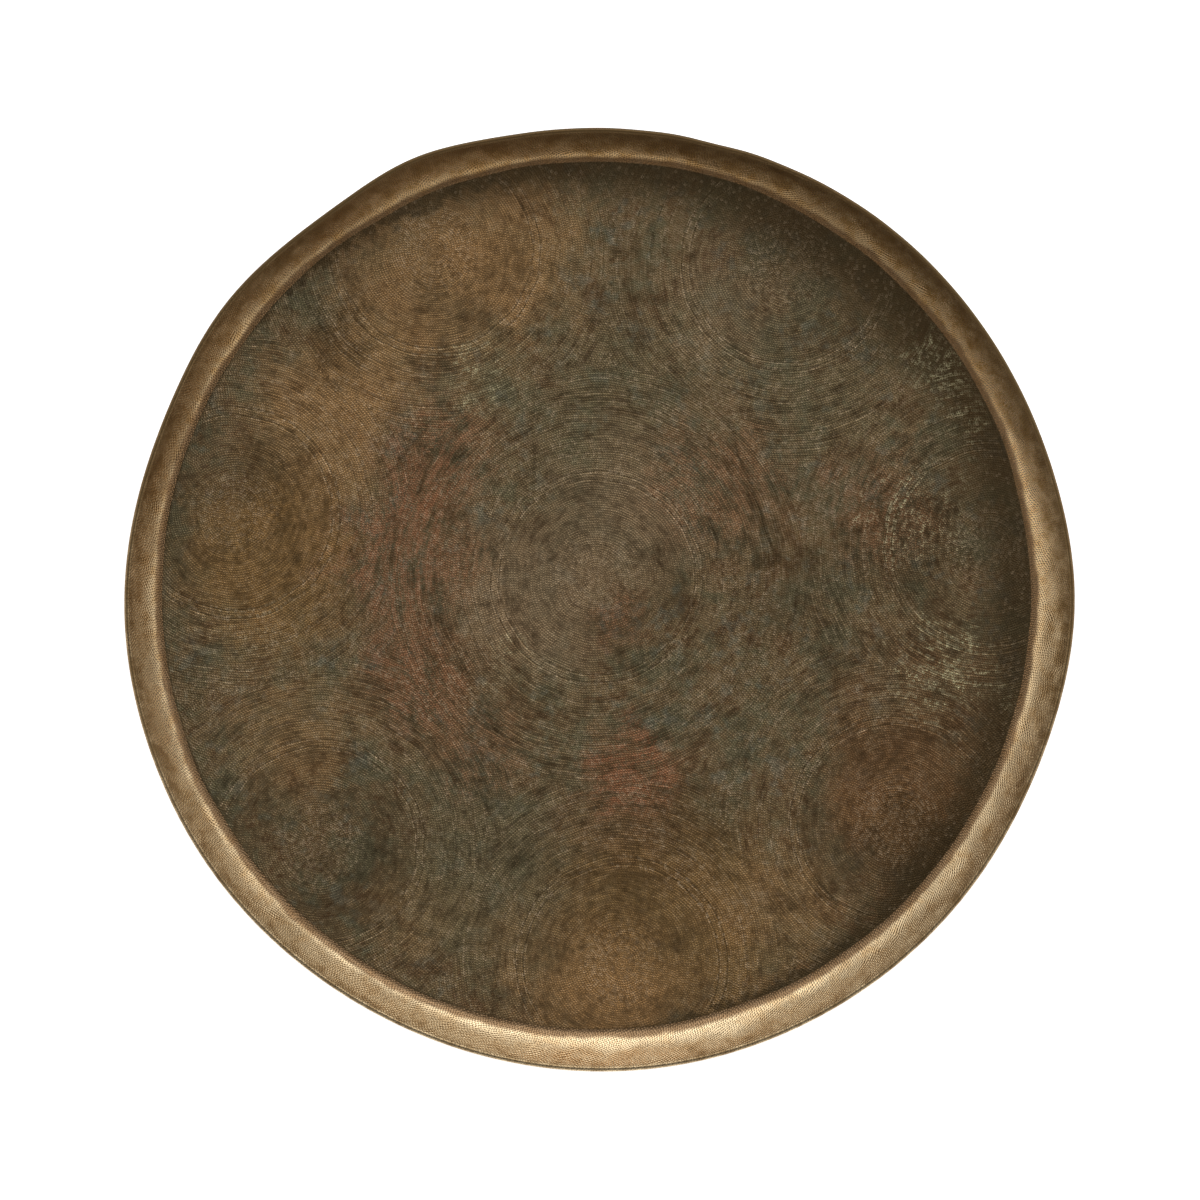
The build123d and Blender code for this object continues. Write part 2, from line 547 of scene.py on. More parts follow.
def along_rim(points, starts):
    """How far each rim point is from the floor's edge, measured along the sheet, and the same as a share
    of the wall's length, which is 1 where the roll begins and more on the roll."""
    lengths = np.zeros(len(points))
    shares = np.zeros(len(points))
    for before, start in zip(starts[:-1], starts[1:-1]):
        step = np.linalg.norm(points[start:start + AROUND] - points[before:before + AROUND], axis=1)
        lengths[start:start + AROUND] = lengths[before:before + AROUND] + step
    head = starts[BEND_STEPS + 2 * WALL_ROWS]
    for start in starts[1:-1]:
        shares[start:start + AROUND] = lengths[start:start + AROUND] / lengths[head:head + AROUND]
    return lengths, shares


def add_values(mesh, name, values):
    """Stores one number per point for the shaders."""
    mesh.attributes.new(name, "FLOAT", "POINT").data.foreach_set("value", values.astype(np.float32))


def add_centres(mesh, points, triangles, quad_count):
    """Stores, on each face, the centre that its rows run around."""
    middles = points[triangles].mean(1)
    index, _ = owner(middles[:, 0], middles[:, 1])
    centres = np.zeros((len(triangles) + quad_count, 3), np.float32)
    centres[:len(triangles), :2] = CENTRES[index]
    attribute = mesh.attributes.new("row_centre", "FLOAT_VECTOR", "FACE")
    attribute.data.foreach_set("vector", centres.ravel())


# Two round islands for the baked textures, as middle and radius: the face, rim and roll on a large one,
# and the back on a small one
FACE_ISLAND = (0.41, 0.41, 0.40)
BACK_ISLAND = (0.845, 0.845, 0.15)


def add_map(mesh, points, lengths, back):
    """Lays the sheet out flat for baking: each point goes out from an island's middle by its distance along
    the sheet. The layer is named OFBake."""
    corners = np.empty(len(mesh.loops), int)
    mesh.loops.foreach_get("vertex_index", corners)
    counts = np.empty(len(mesh.polygons), int)
    mesh.polygons.foreach_get("loop_total", counts)
    on_back = np.repeat(back, counts)
    x, y, _ = points.T
    distance = np.hypot(x, y)
    unrolled = np.where(lengths == 0, distance, crease_distance(x, y) + lengths)
    uv = np.empty((len(corners), 2))
    for island, chosen, reach in ((FACE_ISLAND, ~on_back, unrolled), (BACK_ISLAND, on_back, distance)):
        middle_x, middle_y, radius = island
        corner = corners[chosen]
        scale = radius / reach[corner].max() * reach[corner] / distance[corner]
        uv[chosen, 0] = middle_x + scale * x[corner]
        uv[chosen, 1] = middle_y + scale * y[corner]
    layer = mesh.uv_layers.new(name="OFBake")
    layer.data.foreach_set("uv", uv.ravel().astype(np.float32))


# ---------------------------------------------------------------- shader formulas


class Signal:
    """A number between shader nodes, so that node maths can be written as a formula."""

    def __init__(self, tree, socket):
        self.tree = tree
        self.socket = socket

    def maths(self, operation, *others):
        node = self.tree.nodes.new("ShaderNodeMath")
        node.operation = operation
        for slot, value in zip(node.inputs, (self, *others)):
            feed(self.tree, value, slot)
        return Signal(self.tree, node.outputs[0])

    def __add__(self, other):
        return self.maths("ADD", other)

    def __sub__(self, other):
        return self.maths("SUBTRACT", other)

    def __mul__(self, other):
        return self.maths("MULTIPLY", other)

    def __truediv__(self, other):
        return self.maths("DIVIDE", other)

    def floor(self):
        return self.maths("FLOOR")

    def size(self):
        return self.maths("ABSOLUTE")

    def less(self, amount=1.0):
        """1 where this is 0, and less by the amount where this is 1."""
        return self * -amount + 1

    def clamped(self):
        node = self.tree.nodes.new("ShaderNodeClamp")
        feed(self.tree, self, node.inputs[0])
        return Signal(self.tree, node.outputs[0])

    def step(self, low, high):
        """Rises smoothly from 0 at low to 1 at high, or falls if high is below low."""
        falls = high < low
        node = self.tree.nodes.new("ShaderNodeMapRange")
        node.interpolation_type = "SMOOTHSTEP"
        feed(self.tree, self, node.inputs["Value"])
        node.inputs["From Min"].default_value = min(low, high)
        node.inputs["From Max"].default_value = max(low, high)
        node.inputs["To Min"].default_value = 1.0 if falls else 0.0
        node.inputs["To Max"].default_value = 0.0 if falls else 1.0
        return Signal(self.tree, node.outputs["Result"])


def feed(tree, value, slot):
    """Puts a Signal, a socket or a plain value into a node's input."""
    if isinstance(value, Signal):
        value = value.socket
    if isinstance(value, bpy.types.NodeSocket):
        tree.links.new(value, slot)
    else:
        slot.default_value = value


def joined(tree, x, y, z=0.0):
    node = tree.nodes.new("ShaderNodeCombineXYZ")
    for slot, value in zip(node.inputs, (x, y, z)):
        feed(tree, value, slot)
    return node.outputs[0]


def noise(tree, place, size, detail=3.0, rough=0.5, twist=0.0):
    """Cloudy noise from 0 to 1, with blotches about size metres across."""
    node = tree.nodes.new("ShaderNodeTexNoise")
    feed(tree, place, node.inputs["Vector"])
    node.inputs["Scale"].default_value = 1 / size
    node.inputs["Detail"].default_value = detail
    node.inputs["Roughness"].default_value = rough
    node.inputs["Distortion"].default_value = twist
    return Signal(tree, node.outputs["Fac"])


def dice(tree, x, y, z=0.0):
    """Three random numbers that stay the same for the same x, y and z."""
    node = tree.nodes.new("ShaderNodeTexWhiteNoise")
    feed(tree, joined(tree, x, y, z), node.inputs["Vector"])
    parts = tree.nodes.new("ShaderNodeSeparateColor")
    tree.links.new(node.outputs["Color"], parts.inputs[0])
    return [Signal(tree, part) for part in parts.outputs]


def tint(tree, base, colour, amount):
    """Base colour blended towards colour by amount."""
    node = tree.nodes.new("ShaderNodeMix")
    node.data_type = "RGBA"
    feed(tree, amount, node.inputs["Factor"])
    feed(tree, base, node.inputs["A"])
    feed(tree, colour, node.inputs["B"])
    return node.outputs["Result"]


def shade(tree, base, factor):
    """Base colour times a number."""
    node = tree.nodes.new("ShaderNodeVectorMath")
    node.operation = "SCALE"
    tree.links.new(base, node.inputs[0])
    feed(tree, factor, node.inputs["Scale"])
    return node.outputs[0]


def attribute(tree, name, output="Fac"):
    node = tree.nodes.new("ShaderNodeAttribute")
    node.attribute_name = name
    return node.outputs[output]


def split(tree, vector):
    node = tree.nodes.new("ShaderNodeSeparateXYZ")
    tree.links.new(vector, node.inputs[0])
    return [Signal(tree, part) for part in node.outputs]


def new_material(name):
    material = bpy.data.materials.new(name)
    material.use_nodes = True
    material.node_tree.nodes.clear()
    return material, material.node_tree


def finish_metal(tree, colour, roughness, relief, metallic=1.0, strength=1.0):
    """Ends a tree in a metal surface. Relief is a height in metres."""
    surface = tree.nodes.new("ShaderNodeBsdfPrincipled")
    output = tree.nodes.new("ShaderNodeOutputMaterial")
    bump = tree.nodes.new("ShaderNodeBump")
    feed(tree, strength, bump.inputs["Strength"])
    bump.inputs["Distance"].default_value = 1
    feed(tree, relief, bump.inputs["Height"])
    feed(tree, colour, surface.inputs["Base Color"])
    feed(tree, roughness, surface.inputs["Roughness"])
    feed(tree, metallic, surface.inputs["Metallic"])
    tree.links.new(bump.outputs[0], surface.inputs["Normal"])
    tree.links.new(surface.outputs[0], output.inputs["Surface"])


def object_place(tree):
    return tree.nodes.new("ShaderNodeTexCoord").outputs["Object"]


# ---------------------------------------------------------------- punch marks

# How far a careless hand shifts a mark and slants its row, and where a mark's edge and bottom are, all as
# shares of the distance between marks
MARK_SHIFT = 0.4
MARK_SLANT = 1.2
MARK_EDGE = 0.46
MARK_BOTTOM = 0.14


def punch_marks(tree, row, turn, count, seed, care):
    """Punch marks along rows. Row counts rows outward, turn goes from 0 to 1 around a centre, and count
    is how many marks a row has. Care is how evenly they are placed, from 0 to 1. Gives how deep into a
    mark each point is, from 0 to 1, and two random numbers for that mark."""
    number = row.floor()
    across = row - number - 0.5
    start, _, _ = dice(tree, number, seed, 3.0)
    along = turn * count + start
    place = along.floor()
    beside = along - place - 0.5
    shift, size, tone = dice(tree, number, place, seed)
    loose = 1 - care
    across = across + (shift - 0.5) * (MARK_SHIFT * loose) + beside * (tone - 0.5) * (MARK_SLANT * loose)
    beside = beside + (size - 0.5) * (MARK_SHIFT * loose)
    reach = (across * across + beside * beside).maths("SQRT")
    return reach.step(MARK_EDGE, MARK_BOTTOM), size, tone


def sum_of(signals):
    total = signals[0]
    for signal in signals[1:]:
        total = total + signal
    return total


def on_rows(number, rows):
    """1 on the given rows, 0 elsewhere."""
    return sum_of([number.maths("COMPARE", float(row), 0.5) for row in rows])


# ---------------------------------------------------------------- colours

# Shades of the aged brass, as sRGB
OLIVE = (89, 74, 52)
SAGE = (77, 71, 52)
UMBER = (84, 62, 41)
GOLD = (124, 94, 60)
OCHRE = (108, 82, 49)
RUST = (102, 70, 42)
COPPER = (106, 70, 48)
SMOKE = (46, 36, 21)
PALE = (172, 151, 124)
VERDIGRIS = (150, 144, 112)
HONEY = (190, 150, 96)
CLAY = (114, 95, 72)
TEAL = (77, 76, 65)
DOT = (66, 49, 31)
TARNISH = (80, 63, 40)
BARE = (0.87, 0.68, 0.42)

# Light that the floor reflects from overhead, which its colours are worked back from
OVERHEAD = 0.45


def linear(shade_of):
    """An sRGB shade from 0 to 255 as linear light."""
    return [((value / 255 + 0.055) / 1.055) ** 2.4 for value in shade_of]


def brass(shade_of, light=OVERHEAD):
    """The metal colour that shows as this shade when it reflects this much light."""
    return (*[min(0.95, value / light) for value in linear(shade_of)], 1)


# Where the patina differs from the olive brown around it: x and y of the middle, radius, colour and
# strength, in millimetres from the origin
PATCHES = (
    (-50, 220, 55, GOLD, 0.55),
    (-105, 205, 75, GOLD, 0.6),
    (-180, 112, 60, GOLD, 0.6),
    (-145, 150, 38, GOLD, 0.45),
    (-190, 50, 34, GOLD, 0.45),
    (-110, -195, 42, GOLD, 0.4),
    (-212, 25, 68, OCHRE, 0.8),
    (-195, -85, 50, GOLD, 0.4),
    (40, -205, 95, OCHRE, 0.7),
    (-40, -225, 50, GOLD, 0.4),
    (110, -190, 50, GOLD, 0.35),
    (10, -260, 55, GOLD, 0.8),
    (190, -125, 70, RUST, 0.6),
    (10, 110, 90, SAGE, 0.4),
    (-75, -170, 75, SAGE, 0.6),
    (130, 130, 60, SAGE, 0.4),
    (-45, 0, 60, CLAY, 0.6),
    (15, 55, 60, CLAY, 0.5),
    (80, 190, 50, CLAY, 0.3),
    (-165, -150, 60, SMOKE, 0.15),
    (194, 45, 52, SMOKE, 0.45),
    (120, 5, 50, SMOKE, 0.2),
    (20, -140, 45, UMBER, 0.6),
    (55, -140, 55, SMOKE, 0.18),
    (-110, -42, 42, SMOKE, 0.22),
    (200, -70, 70, UMBER, 0.4),
    (125, 232, 50, SMOKE, 0.35),
    (195, 185, 50, SMOKE, 0.4),
    (210, -165, 55, SMOKE, 0.6),
    (-170, 165, 30, SMOKE, 0.5),
    (-215, 85, 32, SMOKE, 0.3),
)

# Copper red where the brass has lost its zinc, and pale flecks of verdigris, both broken up by the rows
COPPER_PATCHES = (
    (-125, 30, 60, 0.8),
    (-105, 95, 45, 0.7),
    (-115, -50, 45, 0.7),
    (75, 75, 60, 0.5),
    (20, -108, 38, 1.0),
    (-80, -95, 40, 0.5),
    (15, -10, 22, 0.6),
    (180, 60, 45, 0.5),
)
PALE_PATCHES = (
    (220, -52, 42, 1.3),
    (198, 55, 38, 0.9),
    (212, 150, 24, 0.9),
    (232, 118, 26, 0.7),
    (-75, 140, 30, 0.7),
    (-55, -40, 25, 0.4),
    (-225, -20, 35, 0.3),
)


# A patch falls off from its core to its end, as shares of its radius
PATCH_CORE = 0.3
PATCH_END = 1.15

# Sizes of the noise in the floor's shader, and how far it pushes the patches out of round
DRIFT_SIZE = 30 * MM
CLOUD_SIZE = 9 * MM
GRAIN_SIZE = 1.1 * MM
WANDER_SIZE = 26 * MM
DRIFT_WARP = 90 * MM
STREAK_WARP = 20 * MM
CLOUD_WARP = 25 * MM

# How far the painted shade reaches in from the crease
SHADE_REACH = 29 * MM
SHADE_WANDER = 45 * MM
SHADE_LEAST = 2 * MM

# The floor's finest marks: their length along the row against their width, and how evenly they are placed
MARK_LENGTH = 1.1
FLOOR_CARE = 0.55
PUNCH_DEPTH = 0.28 * MM
GRAIN_HEIGHT = 0.06 * MM

# The same for the rim, where a mark is as long as it is wide
RIM_CLOUD_SIZE = 10 * MM
RIM_SWEEP_SIZE = 14 * MM
RIM_GRAIN_SIZE = 1.2 * MM
RIM_SEED = 5.0
RIM_CARE = 0.75
RIM_PUNCH_DEPTH = 0.3 * MM
RIM_GRAIN_HEIGHT = 0.05 * MM
RIM_LIGHT = 0.8

# The brown band at the wall's foot, measured up the wall. It wanders, and it is higher at the bottom.
FOOT_CORE = 3.3 * MM
FOOT_END = 6.5 * MM
FOOT_WANDER = 4 * MM
FOOT_RISE = 1.2 * MM

# The back's noise and the facets of its hammer
BACK_CLOUD_SIZE = 80 * MM
BACK_GRAIN_SIZE = 2 * MM
FACET_SIZE = 11 * MM
FACET_DEPTH = 0.3 * MM
BACK_GRAIN_HEIGHT = 0.05 * MM

# The wire's rust and its drawn grain
RUST_SIZE = 6 * MM
WIRE_GRAIN_SIZE = 0.6 * MM
WIRE_GRAIN_HEIGHT = 0.02 * MM
IRON = (0.28, 0.26, 0.24, 1)
IRON_RUST = (0.16, 0.07, 0.03, 1)


def vector_noise(tree, place, size, detail):
    """Three clouds of noise at once, each from 0 to 1."""
    node = tree.nodes.new("ShaderNodeTexNoise")
    tree.links.new(place, node.inputs["Vector"])
    node.inputs["Scale"].default_value = 1 / size
    node.inputs["Detail"].default_value = detail
    node.inputs["Roughness"].default_value = 0.65
    return split(tree, node.outputs["Color"])


def patch(x, y, middle_x, middle_y, radius):
    """1 in the middle of a round patch, falling to 0 outside it. The patch is in millimetres."""
    away_x = x - middle_x * MM
    away_y = y - middle_y * MM
    away = (away_x * away_x + away_y * away_y).maths("SQRT")
    return away.step(radius * PATCH_END * MM, radius * PATCH_CORE * MM)


def patches_over(x, y, patches):
    """How strongly each point is covered by patches of one colour, added up."""
    return sum_of([patch(x, y, *place) * strength for *place, strength in patches])


def crease_shade(at):
    """How dark the painted shade in the corner at the floor's edge is. It is thickest at the right and the
    top.
    """
    off_x = at.x - FLOOR_CENTRE[0]
    off_y = at.y - FLOOR_CENTRE[1]
    inside = (off_x * off_x + off_y * off_y).maths("SQRT") * -1.0 + FLOOR_RADIUS
    toward_right = (at.x * 0.85 + at.y * 0.5) / FLOOR_RADIUS
    reach = (toward_right + 0.38) * SHADE_REACH + (at.cloudy + at.streaks - 1) * SHADE_WANDER
    return (inside / reach.maths("MAXIMUM", SHADE_LEAST)).step(1.3, 0.3)


def floor_signals(tree):
    """What the floor's shader knows at each point: its place, its row and centre, and the noise there.
    Streaks run along the rows, crisp is where the chasing is least worn, and loud is how rough it is."""
    place = object_place(tree)
    x, y, _ = split(tree, place)
    centre_x, centre_y, _ = split(tree, attribute(tree, "row_centre", "Vector"))
    away_x = x - centre_x
    away_y = y - centre_y
    radius = (away_x * away_x + away_y * away_y).maths("SQRT")
    row = Signal(tree, attribute(tree, "row"))
    drift_x, drift_y, drift_z = vector_noise(tree, place, DRIFT_SIZE, 6)
    along_row = joined(tree, away_x / radius * 6, away_y / radius * 6, row * 0.5 + centre_x * 90)
    streaks = noise(tree, along_row, 1.0, detail=5, rough=0.7)
    cloudy = noise(tree, place, CLOUD_SIZE, detail=4, rough=0.65)
    disc = row.step(DISC_ROWS + 1, DISC_ROWS - 1)
    eye = row.step(EYE_ROWS + 3, EYE_ROWS - 4)
    wear = drift_y * 0.45 + cloudy * 0.12 + streaks * 0.43
    return SimpleNamespace(
        x=x,
        y=y,
        warped_x=x + (drift_x - 0.5) * DRIFT_WARP + (streaks - 0.5) * STREAK_WARP,
        warped_y=y + (drift_y - 0.5) * DRIFT_WARP + (cloudy - 0.5) * CLOUD_WARP,
        centre=centre_x,
        radius=radius,
        turn=away_y.maths("ARCTAN2", away_x) / FULL_TURN + 0.5,
        row=row,
        disc=disc,
        eye=eye,
        loud=disc * (eye * 0.3 - 0.5) + 1,
        drift_x=drift_x,
        drift_z=drift_z,
        streaks=streaks,
        cloudy=cloudy,
        speckle=noise(tree, place, GRAIN_SIZE, detail=2, rough=0.7),
        wander=noise(tree, place, WANDER_SIZE, detail=0),
        wear=wear,
        crisp=wear.step(0.44, 0.58),
    )


def floor_patina(tree, at):
    """The colour of the brass itself: slow drifts of colour, patches, copper red, dark worn areas and a
    mottle that runs along the rows."""
    colour = tint(tree, brass(OLIVE), brass(SAGE), (at.drift_z * 0.7 + at.cloudy * 0.3).step(0.46, 0.6))
    colour = tint(tree, colour, brass(UMBER), (at.drift_z * 0.5 + at.streaks * 0.5).step(0.48, 0.4) * 0.7)
    colour = tint(tree, colour, brass(TEAL), (at.drift_x * 0.55 + at.cloudy * 0.45).step(0.52, 0.62) * 0.6)
    for *spot, patch_shade, strength in PATCHES:
        colour = tint(tree, colour, brass(patch_shade), patch(at.warped_x, at.warped_y, *spot) * strength)
    broken = (at.streaks * 0.6 + at.speckle * 0.4).step(0.42, 0.56)
    copper = patches_over(at.warped_x, at.warped_y, COPPER_PATCHES)
    colour = tint(tree, colour, brass(COPPER), (copper * broken).clamped() * 0.9)
    colour = tint(tree, colour, brass(SMOKE), at.wear.step(0.5, 0.33) * 0.5)
    mottle = ((at.cloudy - 0.5) * 0.75 + (at.streaks - 0.5) * 1.15) * at.loud
    return shade(tree, colour, mottle + at.disc * -0.05 + 1.0)


def floor_material():
    """The chased floor: patina, painted shade at the crease, painted glints on the crests, pale flecks, and
    dark marks and lines.
    """
    material, tree = new_material("chased_floor_brass")
    at = floor_signals(tree)
    punched_row = at.radius / PUNCH + at.wander * 3
    count = ((punched_row.floor() + 0.5) * (FULL_TURN / MARK_LENGTH)).floor()
    mark, size, tone = punch_marks(tree, punched_row, at.turn, count, at.centre, FLOOR_CARE)
    painted_crease_shade = crease_shade(at)
    number = at.row.floor()
    lines = on_rows(number, LINE_ROWS) * 0.9 + on_rows(number, FAINT_LINE_ROWS) * 0.5
    ringed = lines * (at.crisp * 0.5 + 0.5)

    colour = floor_patina(tree, at)
    # Painted shade: the corner at the floor's edge is darkened, thickest at the right and the top
    colour = tint(tree, colour, brass(SMOKE), painted_crease_shade * (at.speckle * 0.5 + at.cloudy * 0.5 + 0.3))
    glint = tone.step(0.5, 0.95) * (ringed * 0.5 + at.eye * 0.14 + at.crisp * at.loud * 0.2 + 0.06)
    glint = glint * mark.less() * painted_crease_shade.less(0.7) + painted_crease_shade * size.step(0.9, 1.0) * 0.14
    colour = tint(tree, colour, brass(PALE), glint * 0.8)
    pale = patches_over(at.warped_x, at.warped_y, PALE_PATCHES)
    flecks = pale * ((at.streaks * 0.65 + at.speckle * 0.35).step(0.5, 0.62) * 0.85 + ringed * 0.7)
    flecks = flecks * tone.step(0.25, 0.8) * mark.less(0.8)
    colour = tint(tree, colour, brass(VERDIGRIS), flecks.clamped())
    in_groove = (at.row - number - 0.5).size().step(0.28, 0.1)
    scratch = Signal(tree, attribute(tree, "scratch"))
    recess = mark * (size * 0.5 + 0.4) * 0.8 + in_groove * ringed * 0.8 + scratch * 0.9
    colour = tint(tree, colour, brass(SMOKE), (recess * 0.75).clamped())

    relief = at.speckle * GRAIN_HEIGHT - mark * (size * 0.6 + 0.6) * PUNCH_DEPTH
    roughness = (at.cloudy - 0.5) * 0.3 + painted_crease_shade * 0.12 + 0.36
    finish_metal(tree, colour, roughness, relief, 0.95, at.crisp * 0.35 + at.loud * 0.3 + 0.3)
    return material


def rim_colour(tree, at, tarnish_and_painted_shade):
    """Bare honey-coloured metal that gives way to tarnish up the wall and to umber at its foot. Painted shade
    makes it warmer, darker and more tarnished on the +Y side.
    """
    colour = shade(tree, joined(tree, *BARE), (at.speckle - 0.5) * 0.4 + 1.0)
    # Random honey tone, plus painted shade that makes the metal warmer and darker towards +Y
    honey_tone_and_top_shade = (at.cloudy.step(0.4, 0.7) * 0.5 + at.toward_top * 0.35 + 0.3).clamped()
    colour = tint(tree, colour, brass(HONEY, RIM_LIGHT), honey_tone_and_top_shade)
    colour = tint(tree, colour, brass(TARNISH), tarnish_and_painted_shade * 0.78)
    foot = at.length + (at.sweep - 0.5) * FOOT_WANDER + at.toward_top * FOOT_RISE
    return tint(tree, colour, brass(UMBER), foot.step(FOOT_END, FOOT_CORE) * 0.85)


def rim_material():
    """The wall and the rolled edge. Up the wall the bare metal gives way to brown patina, and painted shade
    darkens it towards +Y.
    """
    material, tree = new_material("worn_rim_brass")
    place = object_place(tree)
    x, y, _ = split(tree, place)
    at = SimpleNamespace(
        length=Signal(tree, attribute(tree, "up_wall")),
        height=Signal(tree, attribute(tree, "wall_share")),
        toward_top=(y * 0.95 + x * 0.1) / FLOOR_RADIUS,
        cloudy=noise(tree, place, RIM_CLOUD_SIZE, detail=6, rough=0.65),
        sweep=noise(tree, place, RIM_SWEEP_SIZE, detail=1),
        speckle=noise(tree, place, RIM_GRAIN_SIZE, detail=2, rough=0.7),
    )
    turn = y.maths("ARCTAN2", x) / FULL_TURN + 0.5
    marks_around = round(FULL_TURN * FLOOR_RADIUS / RIM_PUNCH)
    row = at.length / RIM_PUNCH + turn * float(marks_around // 2) + (at.sweep - 0.5) * 4
    mark, size, tone = punch_marks(tree, row, turn, float(marks_around), RIM_SEED, RIM_CARE)

    # Tarnish that grows up the wall and at random, plus painted shade that adds more of it on the +Y side
    tarnish_and_shade_level = at.height.maths("MINIMUM", 1.0) + at.toward_top * 0.26 - 0.12
    tarnish_and_painted_shade = (tarnish_and_shade_level + (at.cloudy - 0.5) * 1.7 + (at.speckle - 0.5) * 0.5).step(0.35, 1.15)
    colour = rim_colour(tree, at, tarnish_and_painted_shade)
    polished = tone.step(0.55, 0.95) * mark.less() * tarnish_and_painted_shade * (at.height.step(1.0, 0.7) * 0.35 + 0.1)
    colour = tint(tree, colour, brass(HONEY, RIM_LIGHT), polished)
    colour = tint(tree, colour, brass(DOT), mark * (tone * 0.45 + 0.35))
    seam = at.height.step(0.97, 1.0) * at.height.step(1.08, 1.05)
    colour = tint(tree, colour, brass(TARNISH), seam * 0.5)
    rolled = at.height.step(1.0, 1.06)
    # Painted shade: the roll is darkened with tarnish and dark brown, most on the +Y side and hardly at all
    # at -Y
    colour = tint(tree, colour, brass(TARNISH), rolled * (at.toward_top * 0.5 + 0.6))
    colour = tint(tree, colour, brass(SMOKE), at.height.step(1.04, 1.14) * (at.toward_top * 0.7 + 0.2))

    depth = mark * (size * 0.5 + 0.5) * rolled.less(0.8) * RIM_PUNCH_DEPTH
    roughness = tarnish_and_painted_shade * 0.18 + (at.speckle - 0.5) * 0.2 + 0.24
    finish_metal(tree, colour, roughness, at.speckle * RIM_GRAIN_HEIGHT - depth)
    return material


def under_material():
    """The back: dull brown brass with the flat facets of a planishing hammer."""
    material, tree = new_material("planished_back_brass")
    place = object_place(tree)
    cloudy = noise(tree, place, BACK_CLOUD_SIZE, detail=5, rough=0.55, twist=0.6)
    speckle = noise(tree, place, BACK_GRAIN_SIZE, detail=4, rough=0.7)
    facets = tree.nodes.new("ShaderNodeTexVoronoi")
    facets.feature = "SMOOTH_F1"
    facets.inputs["Scale"].default_value = 1 / FACET_SIZE
    facets.inputs["Smoothness"].default_value = 0.25
    tree.links.new(place, facets.inputs["Vector"])
    blow = Signal(tree, facets.outputs["Distance"])
    colour = tint(tree, brass(OLIVE), brass(OCHRE), cloudy.step(0.25, 0.75))
    colour = tint(tree, colour, brass(UMBER), cloudy.step(0.5, 0.8) * 0.5)
    colour = shade(tree, colour, (speckle - 0.5) * 0.5 + 1.0)
    colour = shade(tree, colour, blow * -0.15 + 1.05)
    relief = blow * FACET_DEPTH + speckle * BACK_GRAIN_HEIGHT
    finish_metal(tree, colour, cloudy * 0.2 + 0.35, relief, metallic=0.95)
    return material


def wire_material():
    """The wire in the rolled edge: drawn iron with patches of rust."""
    material, tree = new_material("drawn_iron_wire")
    place = object_place(tree)
    rust = noise(tree, place, RUST_SIZE, detail=5, rough=0.6)
    speckle = noise(tree, place, WIRE_GRAIN_SIZE, detail=2)
    colour = tint(tree, IRON, IRON_RUST, rust.step(0.5, 0.7) * 0.8)
    finish_metal(tree, colour, rust * 0.3 + 0.35, speckle * WIRE_GRAIN_HEIGHT, metallic=0.9)
    return material


# ---------------------------------------------------------------- studio


def camera_over_tray():
    """Straight above the middle of the outline, with the tray filling the photograph's share of the frame."""
    data = bpy.data.cameras.new("camera")
    data.sensor_width = FILM_WIDTH
    shown = (cad_box[1][0] - cad_box[0][0]) / FRAME_SHARE
    data.lens = FILM_WIDTH * (CAMERA_HEIGHT - pan_high.z) / shown
    data.clip_end = FARTHEST_SEEN
    camera = bpy.data.objects.new("camera", data)
    camera.location = (0, 0, CAMERA_HEIGHT)
    bpy.context.scene.collection.objects.link(camera)
    bpy.context.scene.camera = camera


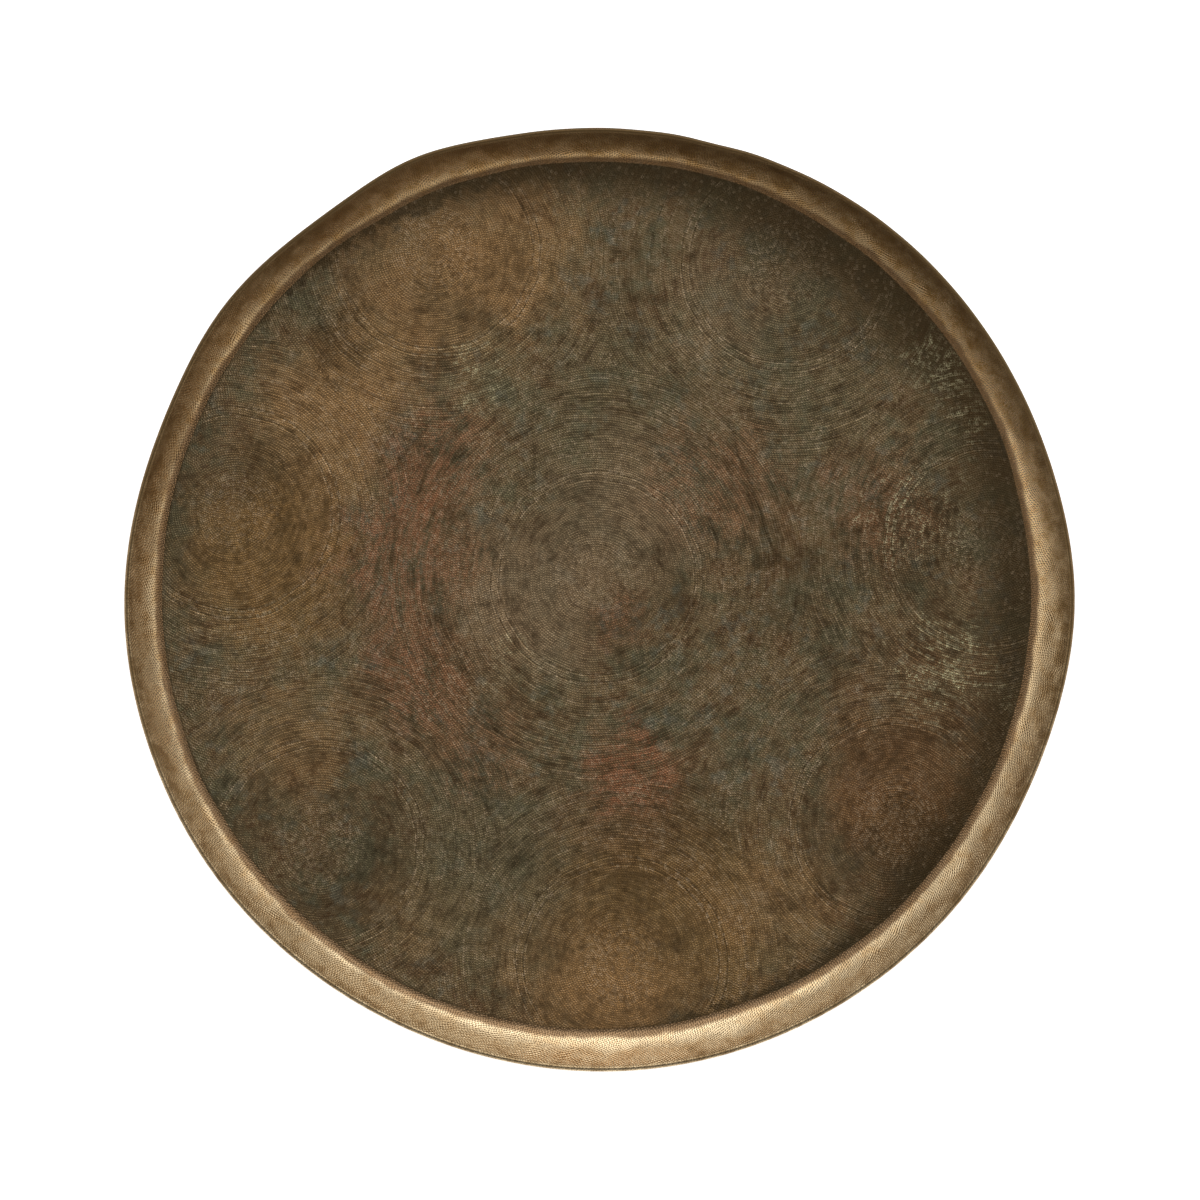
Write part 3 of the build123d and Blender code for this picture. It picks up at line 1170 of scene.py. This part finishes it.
def stage_floor():
    """A wide pale floor that the tray rests on. It glows a little, so it stays pale under soft light, and
    it can be seen through from beneath, so that the tray's back can be looked at."""
    mesh = bpy.data.meshes.new("stage_floor")
    half = STAGE_SIZE / 2
    corners = [(-half, -half, 0), (half, -half, 0), (half, half, 0), (-half, half, 0)]
    mesh.from_pydata(corners, [], [(0, 1, 2, 3)])
    stage = bpy.data.objects.new("stage_floor", mesh)
    stage.location.z = -STAGE_DROP
    material, tree = new_material("pale_floor")
    surface = tree.nodes.new("ShaderNodeBsdfPrincipled")
    surface.inputs["Base Color"].default_value = (STAGE_SHADE, STAGE_SHADE, STAGE_SHADE, 1)
    surface.inputs["Roughness"].default_value = 0.9
    surface.inputs["Emission Color"].default_value = (1, 1, 1, 1)
    surface.inputs["Emission Strength"].default_value = STAGE_GLOW
    clear = tree.nodes.new("ShaderNodeBsdfTransparent")
    see_through = tree.nodes.new("ShaderNodeMixShader")
    beneath = Signal(tree, tree.nodes.new("ShaderNodeNewGeometry").outputs["Backfacing"])
    travelled = Signal(tree, tree.nodes.new("ShaderNodeLightPath").outputs["Ray Length"])
    unseen = beneath.maths("MAXIMUM", travelled.maths("LESS_THAN", CONTACT))
    feed(tree, unseen, see_through.inputs["Fac"])
    tree.links.new(surface.outputs[0], see_through.inputs[1])
    tree.links.new(clear.outputs[0], see_through.inputs[2])
    output = tree.nodes.new("ShaderNodeOutputMaterial")
    tree.links.new(see_through.outputs[0], output.inputs["Surface"])
    mesh.materials.append(material)
    bpy.context.scene.collection.objects.link(stage)


# Soft lights as (direction, height above the horizon, half width, strength), with the angles in degrees.
# Each is at full strength within this share of its half width.
SOFT_LIGHTS = (
    (88, 29, 36, 2.3),
    (40, 29, 34, 1.4),
    (140, 29, 32, 0.8),
    (185, 29, 30, 1.0),
    (350, 29, 30, 0.9),
    (315, 25, 28, 0.4),
    (270, 20, 30, 0.6),
    (60, -50, 45, 1.2),
    (240, -25, 35, 0.6),
)
LIGHT_CORE = 0.35
ALL_AROUND = 0.30


def soft_light(tree, direction, heading, height, width, strength):
    """How much light comes from each direction of the sky through one soft light."""
    node = tree.nodes.new("ShaderNodeVectorMath")
    node.operation = "DOT_PRODUCT"
    tree.links.new(direction, node.inputs[0])
    node.inputs[1].default_value = (*polar(heading, cosine(height)), sine(height))
    facing = Signal(tree, node.outputs["Value"])
    return facing.step(cosine(width), cosine(width * LIGHT_CORE)) * strength


def studio_light():
    """Dim light from all around, a large soft light above the picture's top, weaker ones at the other
    sides, and two from beneath for the back."""
    world = bpy.data.worlds.new("studio")
    world.use_nodes = True
    tree = world.node_tree
    tree.nodes.clear()
    direction = tree.nodes.new("ShaderNodeTexCoord").outputs["Generated"]
    light = sum_of([soft_light(tree, direction, *placed) for placed in SOFT_LIGHTS]) + ALL_AROUND
    background = tree.nodes.new("ShaderNodeBackground")
    feed(tree, light, background.inputs["Strength"])
    output = tree.nodes.new("ShaderNodeOutputWorld")
    tree.links.new(background.outputs[0], output.inputs["Surface"])
    bpy.context.scene.world = world


# ---------------------------------------------------------------- putting it together


def add_tray():
    mesh = build_pan()
    for material in (floor_material(), rim_material(), under_material()):
        mesh.materials.append(material)
    pan = bpy.data.objects.new("tray_pan_visual", mesh)
    bpy.context.scene.collection.objects.link(pan)
    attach(pan, "root")
    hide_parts("tray_pan")
    wire = frame["nodes"]["rim_wire"].data
    wire.materials.clear()
    wire.materials.append(wire_material())


add_tray()
studio_light()
stage_floor()
camera_over_tray()
bpy.context.scene.view_settings.view_transform = "Standard"
